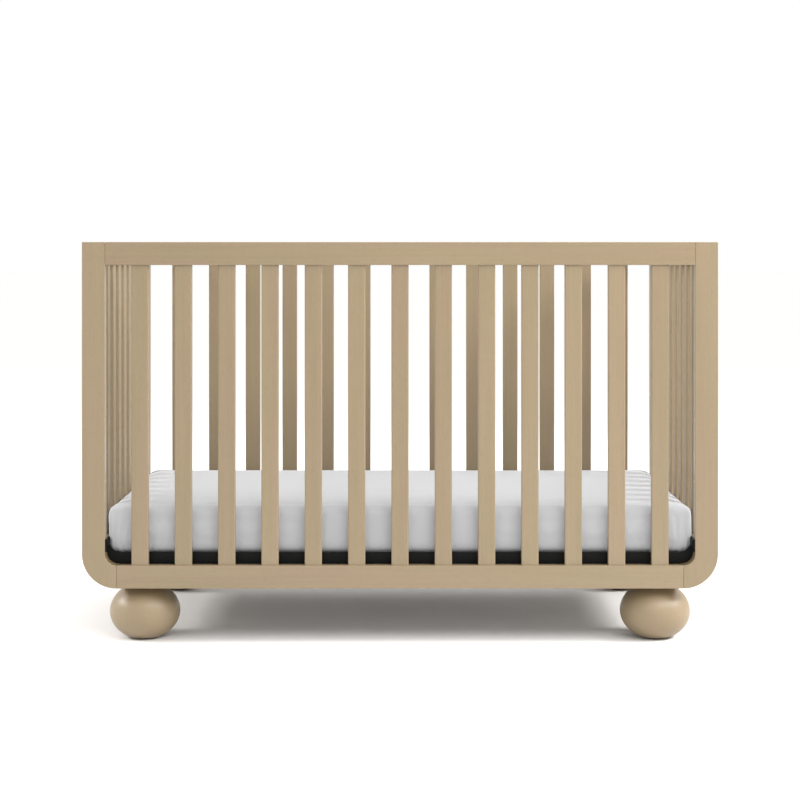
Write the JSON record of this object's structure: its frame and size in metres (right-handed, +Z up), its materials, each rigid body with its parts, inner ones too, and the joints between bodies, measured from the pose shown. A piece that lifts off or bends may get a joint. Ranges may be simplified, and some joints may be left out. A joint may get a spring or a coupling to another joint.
{
  "type": "baby crib",
  "caption": "Slatted wooden baby crib with rounded lower corners, bun feet, a steel spring base that hangs on shoulder bolts, and a mattress in a fitted sheet.",
  "frame": {"origin": "on the floor, under the middle of the crib", "axes": "+Z up, +X along the crib's length, the front side faces -Y"},
  "size_m": [1.434, 0.777, 0.905],
  "materials": {
    "wood": "clear matt lacquer on light beech or oak",
    "dowel_wood": "raw beech",
    "pad": "dense felt and rubber",
    "zinc": "zinc plated",
    "insert_brass": "plain",
    "black_steel": "black powder coat",
    "spring_steel": "oiled spring wire",
    "ticking": "woven ticking over foam",
    "sheet_cotton": "plain white cotton"
  },
  "bodies": {
    "frame": {"front_left_post": "wood", "front_right_post": "wood", "back_left_post": "wood", "back_right_post": "wood", "front_top_rail": "wood", "front_bottom_rail": "wood", "back_top_rail": "wood", "back_bottom_rail": "wood", "left_end_top_rail": "wood", "left_end_bottom_rail": "wood", "left_end_slats": "wood", "right_end_top_rail": "wood", "right_end_bottom_rail": "wood", "right_end_slats": "wood", "front_slat_01": "wood", "front_slat_02": "wood", "front_slat_03": "wood", "front_slat_04": "wood", "front_slat_05": "wood", "front_slat_06": "wood", "front_slat_07": "wood", "front_slat_08": "wood", "front_slat_09": "wood", "front_slat_10": "wood", "front_slat_11": "wood", "front_slat_12": "wood", "front_slat_13": "wood", "back_slat_01": "wood", "back_slat_02": "wood", "back_slat_03": "wood", "back_slat_04": "wood", "back_slat_05": "wood", "back_slat_06": "wood", "back_slat_07": "wood", "back_slat_08": "wood", "back_slat_09": "wood", "back_slat_10": "wood", "back_slat_11": "wood", "back_slat_12": "wood", "back_slat_13": "wood", "front_left_foot": "wood", "front_right_foot": "wood", "back_left_foot": "wood", "back_right_foot": "wood", "foot_pads": "pad", "foot_rails": "wood", "foot_bolts": "zinc", "foot_tee_nuts": "zinc", "rail_dowels": "dowel_wood", "connector_studs": "zinc", "cam_nuts": "zinc", "threaded_inserts": "insert_brass", "shoulder_bolts": "black_steel"},
    "mattress_support": {"support_side_rails": "black_steel", "support_end_rails": "black_steel", "support_hangers": "black_steel", "support_mesh": "black_steel", "support_springs": "spring_steel"},
    "mattress": {"mattress_core": "ticking", "fitted_sheet": "sheet_cotton"}
  },
  "joints": [
    {"name": "support_height", "type": "slide", "parent": "frame", "child": "mattress_support", "axis": [0, 0, 1], "range_m": [0, 0.28]},
    {"name": "mattress_lift", "type": "slide", "parent": "mattress_support", "child": "mattress", "axis": [0, 0, 1], "range_m": [0, 0.72]}
  ]
}
